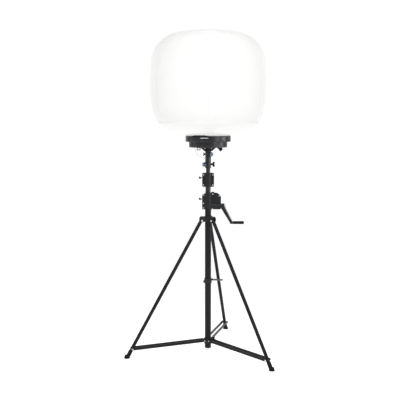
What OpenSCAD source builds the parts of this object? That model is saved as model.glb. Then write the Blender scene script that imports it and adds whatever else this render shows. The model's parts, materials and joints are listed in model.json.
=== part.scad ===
// Inflatable balloon light on a crank-up tripod stand.
// Origin on the column axis at floor level, +Z up, crank on the +X side, front on the -Y side.

/* [Balloon] */
// Radius of the inflated envelope
balloon_r = 462; // [300:1:600]
// Level of the top of the envelope
balloon_top = 2567; // [2300:1:2900]
// Fullness of the upper half (superellipse power)
upper_power = 3.9; // [2.2:0.1:6]
// Fullness of the lower half (superellipse power)
lower_power = 3.5; // [2.2:0.1:6]
// Thickness of the coated fabric
fabric_t = 1.5; // [0.5:0.1:4]

/* [Lamp base] */
// Radius of the upper tier
flange_r = 181; // [150:1:220]
// Level of the top of the upper tier
flange_top = 1764; // [1750:1:1780]
// Level of the bottom of the upper tier
flange_bottom = 1718; // [1710:1:1740]
// Radius of the lower tier
tier_r = 153; // [130:1:170]
// Level of the underside of the lower tier
tier_bottom = 1672; // [1670:1:1680]
// Wall of the base castings
base_wall = 4; // [3:0.5:6]
// Distance of the blower axis behind the column
blower_y = 88; // [80:1:95]

/* [Head socket] */
// Outer radius of the socket
socket_r = 23; // [22:0.5:26]
// Lower end of the socket
socket_bottom = 1507; // [1500:1:1515]
// Level of the hub boss under the base
hub_bottom = 1641; // [1635:1:1650]
// Level of the upper pair of clamp knobs
upper_knob_z = 1618; // [1610:1:1622]
// Level of the lower pair of clamp knobs
lower_knob_z = 1537; // [1530:1:1545]

/* [Mast] */
// Outer radius of the column tube
column_r = 25; // [25:0.5:30]
// Wall of the column and of the lower riser
tube_wall = 2; // [2:0.5:3]
// Lower end of the column tube
column_bottom = 36; // [30:1:50]
// Upper end of the column tube
column_top = 1298; // [1290:1:1310]
// Outer radius of the lower riser tube
lower_riser_r = 21; // [20:0.5:21]
// Outer radius of the upper riser tube
upper_riser_r = 17.25; // [15:0.25:17.5]
// Wall of the upper riser tube
upper_riser_wall = 2.75; // [2:0.25:4]

/* [Winch] */
// Level of the worm axis
worm_z = 1202; // [1195:1:1210]
// Tooth size shared by the rack, the gear and the worm
tooth_module = 3; // [3:1:3]
// Number of teeth of the drive gear
gear_teeth = 24; // [24:4:24]
// Pitch radius of the worm
worm_r = 14; // [14:0.5:16]
// Distance of the rack's pitch line from the column axis
rack_x = 21.1; // [21:0.1:21.2]
// Width of the gear's teeth
gear_w = 7; // [5:0.5:7]

/* [Tripod] */
// Distance of the leg pivots from the column axis
leg_pivot_r = 57; // [55:1:60]
// Level of the leg pivots
leg_pivot_z = 1085; // [1080:1:1090]
// Distance of the brace joints from the column axis
brace_joint_r = 630; // [600:1:650]
// Level of the brace joints on the legs
brace_joint_z = 74; // [70:1:80]
// Outer radius of the leg tubes
leg_r = 14; // [12:0.5:15]
// Distance of the pivots on the sliding collars from the column axis
collar_pivot_r = 36; // [35:0.5:38]
// Level of the brace pivots on the lower collar
lower_pivot_z = 96; // [90:1:100]
// Level of the stay pivot on the middle collar
stay_pivot_z = 591; // [580:1:600]
// Distance of the stay joint down the rear leg
stay_reach = 653; // [640:1:660]

/* [Hidden] */

$fn = 64;
BLACK = [0.16, 0.16, 0.17];
DARK = [0.22, 0.22, 0.23];
GREY = [0.30, 0.30, 0.31];
STEEL = [0.70, 0.72, 0.74];
BRASS = [0.75, 0.60, 0.30];

// Directions of the three legs, counter-clockwise from +X
LEFT = 195.4;
RIGHT = -44.6;
REAR = 75.4;
leg_lean = atan((brace_joint_r - leg_pivot_r) / (leg_pivot_z - brace_joint_z));
leg_reach = norm([brace_joint_r - leg_pivot_r, leg_pivot_z - brace_joint_z]);
floor_r = leg_pivot_r + leg_pivot_z * tan(leg_lean);
stay_joint_r = leg_pivot_r + stay_reach * sin(leg_lean);
stay_joint_z = leg_pivot_z - stay_reach * cos(leg_lean);

fit_gap = 0.08;
slide_gap = 0.4;
socket_bore = upper_riser_r + fit_gap;
riser_in_r = lower_riser_r - tube_wall;
column_in_r = column_r - tube_wall;
riser_bottom = 110;
lower_riser_top = 1440;
upper_riser_bottom = 150;
upper_riser_top = 1630;

// Gear train: one gear meshes with the rack and with a single-start worm below it
tooth_pitch = PI * tooth_module;
tooth_t = 4.2;
addendum = 1.5;
dedendum = 1.9;
pressure_angle = 20;
gear_r = tooth_module * gear_teeth / 2;
gear_x = rack_x + gear_r;
gear_z = worm_z + worm_r + gear_r;
worm_turns = 4;
worm_len = worm_turns * tooth_pitch;
shaft_r = 8;
rack_teeth_up = 4;
rack_teeth_down = 102;

collar_bottom = 1356;
collar_top = 1469;
collar_knob_z = 1428;
lock_knob_z = 1257;
crank_hub_x = 106;
grip_z = 1066;
grip_start = 200;
grip_end = 289;
pivot_bolt_r = 4;
bar_inner = 16.8;
stay_inner = 25.4;
bar_t = 8;
collar_out_r = 30.4;

// A ring about Z between two radii and two levels
module ring(r_in, r_out, z0, z1) {
    translate([0, 0, z0]) difference() {
        cylinder(h = z1 - z0, r = r_out);
        translate([0, 0, -1]) cylinder(h = z1 - z0 + 2, r = r_in);
    }
}

// A cylinder along +X that starts at x0 and ends at x1
module x_rod(x0, x1, r) {
    translate([x0, 0, 0]) rotate([0, 90, 0]) cylinder(h = x1 - x0, r = r);
}

// A cylinder along Y between y0 and y1
module y_rod(y0, y1, r) {
    translate([0, y1, 0]) rotate([90, 0, 0]) cylinder(h = y1 - y0, r = r);
}

// ---------- Lamp head ----------

envelope_mid = (balloon_top + flange_top) / 2;
envelope_half = (balloon_top - flange_top) / 2;
neck_r = 176;
neck_top = flange_top + 8;

function profile_z(r, cut, power) =
    (envelope_half - cut) * pow(max(0, 1 - pow(r / (balloon_r - cut), power)), 1 / power);

// Radii that crowd towards the widest point, where the profile is steep
function profile_r(i, n, cut) = (balloon_r - cut) * sin(90 * i / n);

function upper_profile(cut, n = 18) =
    [for (i = [0:n]) let (r = profile_r(i, n, cut))
        [r, envelope_mid + profile_z(r, cut, upper_power)]];

function lower_profile(cut, n = 22) =
    [for (i = [n - 1:-1:6]) let (r = profile_r(i, n, cut))
        [r, envelope_mid - profile_z(r, cut, lower_power)]];

module balloon_envelope() {
    outer = concat(upper_profile(0), lower_profile(0), [[neck_r, neck_top], [neck_r, flange_top]]);
    inner = concat([[neck_r - fabric_t, flange_top], [neck_r - fabric_t, neck_top]],
                   [for (i = [15:-1:0]) lower_profile(fabric_t)[i]],
                   [for (i = [18:-1:0]) upper_profile(fabric_t)[i]]);
    color("white") rotate_extrude($fn = 96) polygon(concat(outer, inner));
}

module clamp_ring() {
    color(BLACK) ring(166, neck_r - fabric_t - 0.2, flange_top, flange_top + 6);
}

module base_flange() {
    color(DARK) rotate_extrude($fn = 96) polygon([
        [tier_r - 10, flange_bottom], [flange_r - 2, flange_bottom], [flange_r, flange_bottom + 2],
        [flange_r, flange_top - 3], [flange_r - 3, flange_top], [160, flange_top],
        [160, flange_top - base_wall], [flange_r - base_wall, flange_top - base_wall],
        [flange_r - base_wall, flange_bottom + base_wall], [tier_r - 10, flange_bottom + base_wall]]);
}

module base_housing() {
    edge = 8;
    inner_edge = edge - base_wall;
    outer_arc = [for (a = [-90:15:0])
        [tier_r - edge + edge * cos(a), tier_bottom + edge + edge * sin(a)]];
    inner_arc = [for (a = [0:-30:-90])
        [tier_r - edge + inner_edge * cos(a), tier_bottom + edge + inner_edge * sin(a)]];
    color(DARK) difference() {
        rotate_extrude($fn = 96) polygon(concat([[24, tier_bottom]], outer_arc,
            [[tier_r, flange_bottom], [tier_r - base_wall, flange_bottom]],
            inner_arc, [[24, tier_bottom + base_wall]]));
        translate([0, blower_y, tier_bottom - 1]) cylinder(h = base_wall + 2, r = 44);
    }
}

module top_plate() {
    color(GREY) difference() {
        translate([0, 0, flange_top - 8]) cylinder(h = base_wall, r = 172);
        translate([0, blower_y, flange_top - 9]) cylinder(h = base_wall + 2, r = 44);
    }
}

grille_r = 49;

module intake_grille() {
    color(BLACK) translate([0, blower_y, tier_bottom - 3]) difference() {
        union() {
            cylinder(h = 3, r = grille_r);
            cylinder(h = 6, r = 43.6);
        }
        for (r = [12:8:36]) translate([0, 0, -1]) ring(r, r + 5, 0, 8);
    }
    color(BLACK) translate([0, blower_y, tier_bottom - 3]) for (a = [0:60:120]) rotate(a)
        translate([-40, -1.5, 3.2]) cube([80, 3, 2.6]);
}

module blower_housing() {
    color(BLACK) translate([0, blower_y, 0]) {
        ring(43.8, 46, tier_bottom + base_wall, flange_top - 8);
        translate([0, 0, 1736]) for (a = [45:90:315]) rotate(a)
            translate([16, -2, 0]) cube([28.5, 4, 3]);
        ring(14, 17, 1736, 1739);
    }
}

module blower_motor() {
    color(GREY) translate([0, blower_y, 0]) {
        translate([0, 0, 1718]) cylinder(h = 21, r = 14);
        translate([0, 0, 1739]) cylinder(h = 3, r = 9);
        translate([0, 0, 1694]) cylinder(h = 24, r = 3);
    }
}

module fan_impeller() {
    color("black") translate([0, blower_y, 0]) difference() {
        union() {
            translate([0, 0, 1692]) cylinder(h = 22, r = 13);
            for (a = [0:60:300]) rotate(a) translate([11, 0, 1703]) rotate([32, 0, 0])
                translate([0, -1, -11]) cube([30, 2, 22]);
        }
        translate([0, 0, 1690]) cylinder(h = 30, r = 3 + fit_gap);
    }
}

mast_top = 2130;
mast_bottom = flange_top - 4;

module led_mast() {
    color(STEEL) translate([0, 0, mast_bottom]) difference() {
        union() {
            cylinder(h = mast_top - mast_bottom, r = 42, $fn = 8);
            cylinder(h = 5, r = 42);
        }
        for (a = [0:45:315]) rotate(a) translate([26, -1.5, 6]) cube([18, 3, 500]);
        translate([0, 0, -1]) cylinder(h = 500, r = 20);
    }
}

module led_modules() {
    color("khaki") for (a = [22.5:45:337.5], z = [1790:110:2010]) rotate(a)
        translate([42 * cos(22.5), -12, z]) cube([2.5, 24, 100]);
}

module lamp_cap() {
    color(GREY) translate([0, 0, mast_top]) {
        cylinder(h = 6, r = 46);
        translate([0, 0, 6]) cylinder(h = 8, r1 = 40, r2 = 18);
    }
}

module driver_boxes() {
    color(GREY) for (side = [-1, 1]) translate([side * 92 - 30, -70, tier_bottom + base_wall]) {
        cube([60, 105, 42]);
        for (x = [5:10:45]) translate([x, 0, 42]) cube([4, 105, 6]);
    }
}

inlet_x = 92;
inlet_y = -40;
inlet_tilt = 40;

module power_inlet() {
    color(BLACK) translate([inlet_x, inlet_y, tier_bottom]) difference() {
        union() {
            translate([-20, -16, -7]) cube([40, 32, 7]);
            translate([0, 0, -7]) rotate([0, -inlet_tilt + 180, 0])
                translate([0, 0, -9]) cylinder(h = 31, r = 12.5);
        }
        translate([0, 0, -7]) rotate([0, -inlet_tilt + 180, 0])
            translate([0, 0, 6]) cylinder(h = 30, r = 9.5);
        translate([-60, -60, 0]) cube([120, 120, 60]);
    }
}

module wire_eye() {
    color(BLACK) translate([-76, -40, tier_bottom]) difference() {
        translate([-15, -4, -22]) cube([30, 8, 22]);
        translate([-9, -5, -16]) cube([18, 10, 11]);
    }
}

wire_r = 1;
WIRE_ROUTE = [[-106, -40, 1672], [-106, -40, 1665], [-105, -39.6, 1656], [-102, -38.6, 1645],
              [-97, -37, 1634], [-90, -34.6, 1622], [-81, -31.4, 1611], [-70, -27.4, 1602],
              [-58, -22.8, 1595], [-46, -18, 1591], [-36, -14, 1589.5], [-28, -10.8, 1589],
              [-21.8, -8.3, 1589]];

// The frame of a tube's ring at point i: the direction along the route there
function along(p, i) = let (d = p[min(i + 1, len(p) - 1)] - p[max(i - 1, 0)]) d / norm(d);

function unit(v) = v / norm(v);

// Points of Catmull-Rom segments through the route
function smooth(p, k) = concat([for (i = [0:len(p) - 2], j = [0:k - 1])
    let (t = j / k, a = p[max(i - 1, 0)], b = p[i], c = p[i + 1], d = p[min(i + 2, len(p) - 1)])
    0.5 * (2 * b + (c - a) * t + (2 * a - 5 * b + 4 * c - d) * t * t
           + (3 * b - a - 3 * c + d) * t * t * t)], [p[len(p) - 1]]);

module swept_tube(route, r, sides = 8) {
    rings = len(route);
    points = [for (i = [0:rings - 1])
        let (t = along(route, i), u = unit(cross(t, [0, 1, 0])), v = cross(t, u))
        for (a = [0:360 / sides:359]) route[i] + r * (cos(a) * u + sin(a) * v)];
    side_faces = [for (i = [0:rings - 2], k = [0:sides - 1])
        let (n = (k + 1) % sides, a = i * sides, b = a + sides)
        [a + k, a + n, b + n, b + k]];
    polyhedron(points, concat(side_faces, [[for (k = [sides - 1:-1:0]) k]],
        [[for (k = [0:sides - 1]) (rings - 1) * sides + k]]), convexity = 4);
}

module safety_wire() {
    color(STEEL) swept_tube(smooth(WIRE_ROUTE, 3), wire_r);
}

module hub_flange() {
    color(BLACK) difference() {
        union() {
            translate([0, 0, tier_bottom - 6]) cylinder(h = 6, r = 66);
            translate([0, 0, hub_bottom]) cylinder(h = tier_bottom - 6 - hub_bottom, r = 28);
            for (a = [30:60:330]) rotate(a) rotate([90, 0, 0]) translate([0, 0, -2.5])
                linear_extrude(height = 5) polygon([[26, hub_bottom + 2], [34, hub_bottom + 2],
                    [62, tier_bottom - 8], [62, tier_bottom - 4], [26, tier_bottom - 4]]);
        }
        translate([0, blower_y, hub_bottom]) cylinder(h = 60, r = grille_r + 0.5);
        for (a = [180, 240, 300, 360]) rotate(a) translate([52, 0, tier_bottom - 10])
            cylinder(h = 20, r = 3.2, $fn = 24);
    }
}

module head_socket() {
    color(DARK) difference() {
        ring(socket_bore, socket_r, socket_bottom, hub_bottom);
        for (k = KNOB_SEATS) translate([0, 0, k[1]]) rotate(k[0]) x_rod(10, 40, 4.3);
    }
}

// Direction and level of each clamp knob on the socket
KNOB_SEATS = [[-50, upper_knob_z], [188, upper_knob_z], [-136, lower_knob_z], [-6, lower_knob_z]];

module knob_stem(reach) {
    x_rod(upper_riser_r + slide_gap, reach, 4);
}

// A lobed clamp knob whose face is at distance face from the column axis
module round_knob(face) {
    depth = 14;
    x_rod(26, face - depth + 1, 9);
    difference() {
        translate([face - depth, 0, 0]) rotate([0, 90, 0]) linear_extrude(height = depth) union() {
            circle(r = 14);
            for (a = [0:60:300]) rotate(a) translate([13, 0]) circle(r = 5);
        }
        x_rod(face - 2.5, face + 5, 8.6);
    }
}

module head_knob_right() {
    color(BLACK) translate([0, 0, upper_knob_z]) rotate(KNOB_SEATS[0][0]) {
        knob_stem(28);
        round_knob(45);
    }
}

module head_knob_left() {
    color(BLACK) translate([0, 0, upper_knob_z]) rotate(KNOB_SEATS[1][0]) {
        knob_stem(28);
        x_rod(26, 36, 7.5);
        for (side = [-1, 1]) rotate([side * 90 + 55, 0, 0]) translate([27, -2.5, 4])
            rotate([0, 25, 0]) cube([8, 5, 15]);
    }
}

module socket_knob_left() {
    color(BLACK) translate([0, 0, lower_knob_z]) rotate(KNOB_SEATS[2][0]) {
        knob_stem(28);
        round_knob(50);
    }
}

module socket_knob_right() {
    color(BLACK) translate([0, 0, lower_knob_z]) rotate(KNOB_SEATS[3][0]) {
        knob_stem(40);
        x_rod(24, 34, 9);
        x_rod(33, 44, 8);
        translate([45, 0, 0]) rotate_extrude() polygon([
            [0, -20], [5, -20], [8.6, -17.5], [8.6, -12], [6.4, -5], [6.4, 5],
            [8.6, 12], [8.6, 17.5], [5, 20], [0, 20]]);
    }
}

// ---------- Telescopic mast ----------

module upper_riser_tube() {
    color(DARK) ring(upper_riser_r - upper_riser_wall, upper_riser_r,
                     upper_riser_bottom, upper_riser_top);
}

rack_half_w = 4;
rack_low = gear_z - rack_teeth_down * tooth_pitch;
rack_high = gear_z + rack_teeth_up * tooth_pitch;

module lower_riser_tube() {
    color(DARK) difference() {
        ring(riser_in_r, lower_riser_r, riser_bottom, lower_riser_top);
        translate([10, -rack_half_w, rack_low]) cube([20, 2 * rack_half_w, rack_high - rack_low]);
    }
}

module gear_rack() {
    back_x = 18.1;
    tan_p = tan(pressure_angle);
    tip_half = tooth_t / 2 - addendum * tan_p;
    root_half = tooth_t / 2 + dedendum * tan_p;
    flanks = [for (k = [-rack_teeth_down:rack_teeth_up - 1])
        let (z = gear_z + (k + 0.5) * tooth_pitch)
        for (q = [[-dedendum, -root_half], [addendum, -tip_half],
                  [addendum, tip_half], [-dedendum, root_half]]) [rack_x + q[0], z + q[1]]];
    color(GREY) rotate([90, 0, 0]) translate([0, 0, -rack_half_w])
        linear_extrude(height = 2 * rack_half_w)
            polygon(concat([[back_x, rack_low], [rack_x - dedendum, rack_low]], flanks,
                           [[rack_x - dedendum, rack_high], [back_x, rack_high]]));
}

module upper_guide_bush() {
    color("ivory") {
        ring(upper_riser_r + fit_gap, riser_in_r, 1404, lower_riser_top);
        ring(upper_riser_r + fit_gap, lower_riser_r, lower_riser_top, lower_riser_top + 3);
    }
}

plate_half = 48;
collar_bolt_seats = [[-38, 1372], [-38, 1453], [38, 1372], [38, 1453]];

// Rounded ear plate on the left and right of the riser collar
module collar_plate(y0, t) {
    corner = 12;
    low = collar_bottom;
    high = collar_top;
    translate([0, y0 + t, 0]) rotate([90, 0, 0]) linear_extrude(height = t) union() {
        translate([-plate_half, low + corner])
            square([2 * plate_half, high - low - 2 * corner]);
        translate([-plate_half + corner, low])
            square([2 * (plate_half - corner), high - low]);
        for (x = [corner - plate_half, plate_half - corner], z = [low + corner, high - corner])
            translate([x, z]) circle(r = corner);
    }
}

module riser_collar_half(side) {
    difference() {
        union() {
            collar_plate(side > 0 ? 0.3 : -8.3, 8);
            intersection() {
                ring(10, 27.5, collar_bottom + 2, collar_top - 2);
                translate([-50, side > 0 ? 0.3 : -50.3, collar_bottom]) cube([100, 50, 200]);
            }
            if (side < 0) for (z = [1384, 1412, 1440]) translate([24, -13, z - 4])
                cube([14, 6, 8]);
        }
        translate([0, 0, collar_bottom - 1]) cylinder(h = lower_riser_top + 3 - collar_bottom + 1,
                                                      r = lower_riser_r);
        translate([0, 0, collar_bottom]) cylinder(h = 200, r = upper_riser_r + slide_gap);
        for (s = collar_bolt_seats) translate([s[0], 0, s[1]]) y_rod(-20, 20, 3.2);
        translate([0, 0, collar_knob_z]) rotate(180) x_rod(20, 60, 2.8);
    }
}

module riser_collar_front() { color(DARK) riser_collar_half(-1); }

module riser_collar_back() { color(DARK) riser_collar_half(1); }

module bolt_y(y_head, y_end) {
    y_rod(y_head, y_end, 3);
    y_rod(y_head - 4, y_head, 5.5);
    translate([0, y_end - 5, 0]) rotate([-90, 0, 0]) cylinder(h = 5, r = 6, $fn = 6);
}

module riser_collar_bolts() {
    color(STEEL) for (s = collar_bolt_seats) translate([s[0], 0, s[1]]) bolt_y(-8.3, 13.3);
}

module ball_knob(stem_from, ball_x) {
    x_rod(stem_from, ball_x, 2.5);
    x_rod(ball_x - 8, ball_x - 4, 5);
    translate([ball_x, 0, 0]) sphere(r = 8.5);
    translate([ball_x, 0, 0]) rotate([20, 0, 0]) translate([0, -3, 0]) cube([7, 6, 12]);
}

module collar_knob() {
    color(BLACK) translate([0, 0, collar_knob_z]) rotate(180)
        ball_knob(lower_riser_r + slide_gap, 66);
}

module column_tube() {
    color(DARK) difference() {
        ring(column_in_r, column_r, column_bottom, column_top);
        translate([20, -5.5, gear_z - 24]) cube([10, 11, 48]);
    }
}

module column_plug() {
    color("black") translate([0, 0, column_bottom - 6]) {
        cylinder(h = 6, r1 = 22, r2 = column_r + 1);
        translate([0, 0, 6]) cylinder(h = 24, r = column_in_r);
    }
}

module riser_guide_bush() {
    color("ivory") difference() {
        union() {
            ring(lower_riser_r + fit_gap, column_in_r, column_top - 36, column_top);
            ring(lower_riser_r + fit_gap, column_r, column_top, column_top + 3);
        }
        translate([10, -rack_half_w - 0.5, column_top - 40])
            cube([30, 2 * rack_half_w + 1, 60]);
    }
}

// ---------- Winch ----------

winch_bolt_seats = [[-38, 1292], [-38, 1224], [-38, 1186], [37, 1298], [89, 1284], [36, 1181]];
winch_low = 1174;
dome_x = 56;
dome_z = 1261;
dome_r = 48;
spot_r = 6.8;

module winch_outline() {
    translate([-48, winch_low]) square([60, 112]);
    translate([-34, winch_low]) square([46, 126]);
    translate([-34, 1286]) circle(r = 14);
    translate([dome_x, dome_z]) circle(r = dome_r);
    translate([38, 1301]) circle(r = 16);
    translate([90, 1272]) circle(r = 14);
    polygon([[10, winch_low], [96, winch_low], [104, 1184], [104, 1272],
             [60, 1300], [40, 1317], [22, 1308], [10, 1300]]);
}

module winch_half(side) {
    flange_t = 9;
    boss = 14;
    front = side > 0 ? 0 : -1;
    difference() {
        union() {
            translate([0, front * flange_t + flange_t, 0]) rotate([90, 0, 0])
                linear_extrude(height = flange_t) winch_outline();
            intersection() {
                union() {
                    ring(10, 29.5, winch_low, column_top + 6);
                    translate([0, 0, worm_z]) x_rod(12, 103, 24);
                    translate([dome_x, 0, dome_z]) y_rod(-boss, boss, dome_r - 4);
                }
                translate([-60, side > 0 ? 0 : -60, winch_low]) cube([170, 60, 140]);
            }
        }
        for (s = winch_bolt_seats) translate([s[0], 0, s[1]]) {
            y_rod(flange_t, 40, spot_r);
            y_rod(-40, -flange_t, spot_r);
        }
        translate([0, 0, winch_low - 1]) cylinder(h = column_top - winch_low + 1, r = column_r);
        translate([0, 0, column_top - 1]) cylinder(h = 5, r = column_r);
        translate([0, 0, winch_low]) cylinder(h = 200, r = lower_riser_r + slide_gap);
        translate([18, -rack_half_w - 1, 1290]) cube([8, 2 * rack_half_w + 2, 40]);
        translate([gear_x, 0, gear_z]) {
            y_rod(-5, 5, 40);
            y_rod(-10, 10, 12);
        }
        translate([0, 0, worm_z]) {
            x_rod(gear_x - 21.5, gear_x + 21.5, 17);
            x_rod(28, 110, 12);
        }
        for (s = winch_bolt_seats) translate([s[0], 0, s[1]]) y_rod(-20, 20, 3.2);
        translate([0, 0, lock_knob_z]) rotate(180) x_rod(24, 60, 2.8);
    }
}

module winch_housing_front() { color(DARK) winch_half(-1); }

module winch_housing_back() { color(DARK) winch_half(1); }

module winch_bolts() {
    color(STEEL) for (s = winch_bolt_seats) translate([s[0], 0, s[1]]) bolt_y(-9, 14);
}

module winch_bushings() {
    color(BRASS) {
        for (y = [[-10, -5], [5, 10]]) translate([gear_x, 0, gear_z]) difference() {
            y_rod(y[0], y[1], 12);
            y_rod(-20, 20, shaft_r + fit_gap);
        }
        for (x = [[28, gear_x - 21.5], [gear_x + 21.5, 100]]) translate([0, 0, worm_z])
            difference() {
                x_rod(x[0], x[1], 12);
                x_rod(0, 140, shaft_r + fit_gap);
            }
    }
}

module winch_lock_knob() {
    color(BLACK) translate([0, 0, lock_knob_z]) rotate(180) ball_knob(column_r + slide_gap, 66);
}

base_cos = cos(pressure_angle);
base_r = gear_r * base_cos;

function involute(a) = tan(a) * 180 / PI - a;
function flank_angle(r) = let (a = acos(min(1, base_r / r)))
    (tooth_t / 2 / gear_r) * 180 / PI + involute(pressure_angle) - involute(a);

module drive_gear() {
    radii = [gear_r - dedendum, gear_r - 0.6, gear_r + 0.6, gear_r + addendum];
    step = 360 / gear_teeth;
    outline = [for (k = [0:gear_teeth - 1]) each concat(
        [for (r = radii) let (a = k * step - flank_angle(r)) r * [cos(a), sin(a)]],
        [for (i = [3:-1:0]) let (a = k * step + flank_angle(radii[i])) radii[i] * [cos(a), sin(a)]])];
    color(BRASS) translate([gear_x, gear_w / 2, gear_z]) rotate([90, 0, 0]) difference() {
        linear_extrude(height = gear_w) polygon(outline);
        translate([0, 0, -1]) cylinder(h = gear_w + 2, r = shaft_r);
        for (a = [0:60:300]) rotate(a) translate([21, 0, -1]) cylinder(h = gear_w + 2, r = 5);
    }
}

module gear_shaft() {
    color(STEEL) translate([gear_x, 0, gear_z]) y_rod(-9.5, 9.5, shaft_r);
}

// Cross-section of the single-start thread: its crest, two flanks and its root
function thread_r(a) = let (
    crest = worm_r + addendum, root = worm_r - dedendum,
    crest_half = 180 * (tooth_t - 2 * addendum * tan(pressure_angle)) / tooth_pitch,
    root_half = 180 * (tooth_t + 2 * dedendum * tan(pressure_angle)) / tooth_pitch,
    b = abs(a))
    b <= crest_half ? crest : b >= root_half ? root
        : crest + (root - crest) * (b - crest_half) / (root_half - crest_half);

module worm() {
    color(STEEL) translate([gear_x - worm_len / 2, 0, worm_z]) rotate([0, 90, 0])
        linear_extrude(height = worm_len, twist = -360 * worm_turns, slices = 16 * worm_turns,
                       segments = 24)
            polygon([for (a = [-180:15:165]) thread_r(a) * [cos(a), sin(a)]]);
}

module worm_shaft() {
    color(STEEL) translate([0, 0, worm_z]) {
        x_rod(29, gear_x - worm_len / 2, shaft_r);
        x_rod(gear_x + worm_len / 2, 138, shaft_r);
        x_rod(132.2, 138, 10);
    }
}

arm_x = crank_hub_x;
arm_w = 26;

module crank_arm() {
    color(BLACK) difference() {
        union() {
            translate([0, 0, worm_z]) x_rod(arm_x, arm_x + arm_w, 20);
            translate([0, 8, 0]) rotate([90, 0, 0]) linear_extrude(height = 16)
                polygon([[arm_x, worm_z + 12], [arm_x + arm_w, worm_z + 12],
                         [arm_x + arm_w + 4, worm_z - 4], [200, grip_z + 6], [200, grip_z - 10],
                         [182, grip_z - 10], [arm_x, worm_z - 22]]);
            translate([0, 0, grip_z]) x_rod(181, 199, 11);
        }
        translate([0, 0, worm_z]) x_rod(90, 160, shaft_r);
        translate([0, 0, worm_z]) x_rod(arm_x + arm_w, 160, 11);
        for (y = [-12, 5]) translate([0, y + 7, 0]) rotate([90, 0, 0]) linear_extrude(height = 7)
            polygon([[126, worm_z - 26], [132, worm_z - 22], [188, grip_z + 14],
                     [182, grip_z + 12]]);
        translate([0, 0, grip_z]) x_rod(180, 210, 5);
    }
    color(STEEL) translate([0, 0, grip_z]) {
        x_rod(179, 284, 4.9);
        x_rod(176, 179, 8);
    }
}

module crank_grip() {
    color("black") translate([0, 0, grip_z]) difference() {
        rotate([0, 90, 0]) rotate_extrude() polygon([
            [5, grip_start + 1], [11, grip_start + 1], [12.3, grip_start + 14],
            [11.2, grip_start + 40], [12.6, grip_end - 16], [11.5, grip_end - 3],
            [9, grip_end], [0, grip_end], [0, 285], [5, 285]]);
    }
}

// ---------- Tripod ----------

// Places a part in the upright plane of one leg, with +X pointing away from the column
module at_leg(direction) {
    rotate(direction) children();
}

// A pivot bolt along the local Y, with round heads outside
module pivot_bolt(half_length, r = pivot_bolt_r) {
    y_rod(-half_length, half_length, r);
    y_rod(-half_length - 4, -half_length, r + 3.5);
    y_rod(half_length, half_length + 4, r + 3.5);
}

module leg_collar() {
    ear_in = 14.6;
    ear_t = 6;
    color(DARK) difference() {
        union() {
            ring(column_r, 32, 1076, 1118);
            for (d = [LEFT, RIGHT, REAR], s = [-1, 1]) at_leg(d)
                translate([0, s > 0 ? ear_in + ear_t : -ear_in, 0]) rotate([90, 0, 0])
                    linear_extrude(height = ear_t) polygon([[22, 1078], [44, 1074], [60, 1074],
                        [68, 1080], [69, 1096], [64, 1112], [54, 1117], [22, 1117]]);
            for (d = [LEFT, RIGHT, REAR]) at_leg(d) translate([22, -ear_in, 1108])
                cube([40, 2 * ear_in, 9]);
        }
        translate([0, 0, 1000]) cylinder(h = 200, r = column_r);
        for (d = [LEFT, RIGHT, REAR]) at_leg(d)
            translate([leg_pivot_r, 0, leg_pivot_z]) y_rod(-30, 30, pivot_bolt_r);
    }
}

module leg_pivot_bolts() {
    color(STEEL) for (d = [LEFT, RIGHT, REAR]) at_leg(d)
        translate([leg_pivot_r, 0, leg_pivot_z]) pivot_bolt(20.6);
}

// Places a part along one leg: origin at the pivot, -Z down the leg
module on_leg(direction) {
    at_leg(direction) translate([leg_pivot_r, 0, leg_pivot_z]) rotate([0, -leg_lean, 0]) children();
}

tube_end = leg_pivot_z / cos(leg_lean) - 18;

module leg(direction, stay = false) {
    on_leg(direction) difference() {
        union() {
            translate([0, 0, -tube_end]) difference() {
                cylinder(h = tube_end - 34, r = leg_r);
                translate([0, 0, -1]) cylinder(h = tube_end - 60, r = leg_r - 2);
            }
            translate([0, 0, -40]) cylinder(h = 40, r = leg_r - 0.4);
            y_rod(1.2 - leg_r, leg_r - 1.2, leg_r - 1);
        }
        y_rod(-20, 20, pivot_bolt_r + fit_gap);
    }
    for (pin = stay ? [[leg_reach, bar_inner], [stay_reach, stay_inner]] : [[leg_reach, bar_inner]])
        on_leg(direction) translate([0, 0, -pin[0]]) y_rod(0.3 - pin[1], pin[1] - 0.3, 6.5);
}

module leg_left() { color(DARK) leg(LEFT); }

module leg_right() { color(DARK) leg(RIGHT); }

module leg_rear() { color(DARK) leg(REAR, true); }

module foot(direction) {
    difference() {
        intersection() {
            union() {
                on_leg(direction) translate([0, 0, -tube_end - 60]) cylinder(h = 105, r = leg_r + 2);
                on_leg(direction) translate([0, 0, -tube_end + 40]) cylinder(h = 8, r = leg_r + 2.4);
                at_leg(direction) translate([floor_r, 0, 0]) cylinder(h = 24, r1 = 23, r2 = 17);
            }
            translate([-1000, -1000, 0]) cube([2000, 2000, 200]);
        }
        on_leg(direction) translate([0, 0, -tube_end]) cylinder(h = 300, r = leg_r);
    }
}

module foot_left() { color("black") foot(LEFT); }

module foot_right() { color("black") foot(RIGHT); }

module foot_rear() { color("black") foot(REAR); }

sleeve_bore = column_r + 0.1;

// A lug that sticks out of a sliding collar, with its pivot bolt
module collar_lug(direction, pivot_z, inner = bar_inner) {
    wide = inner - 2.8;
    at_leg(direction) {
        translate([24, -14, pivot_z - 8]) cube([12, 28, 16]);
        translate([collar_pivot_r, 0, pivot_z]) y_rod(-wide, wide, 6.5);
        translate([collar_pivot_r, 0, pivot_z]) y_rod(-inner - bar_t - 0.4,
                                                      inner + bar_t + 0.4, pivot_bolt_r);
        for (s = [-1, 1]) translate([collar_pivot_r, s * (inner + bar_t + 2.4), pivot_z])
            y_rod(-2, 2, 6.5);
    }
}

knob_lug = 15.4;

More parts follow.
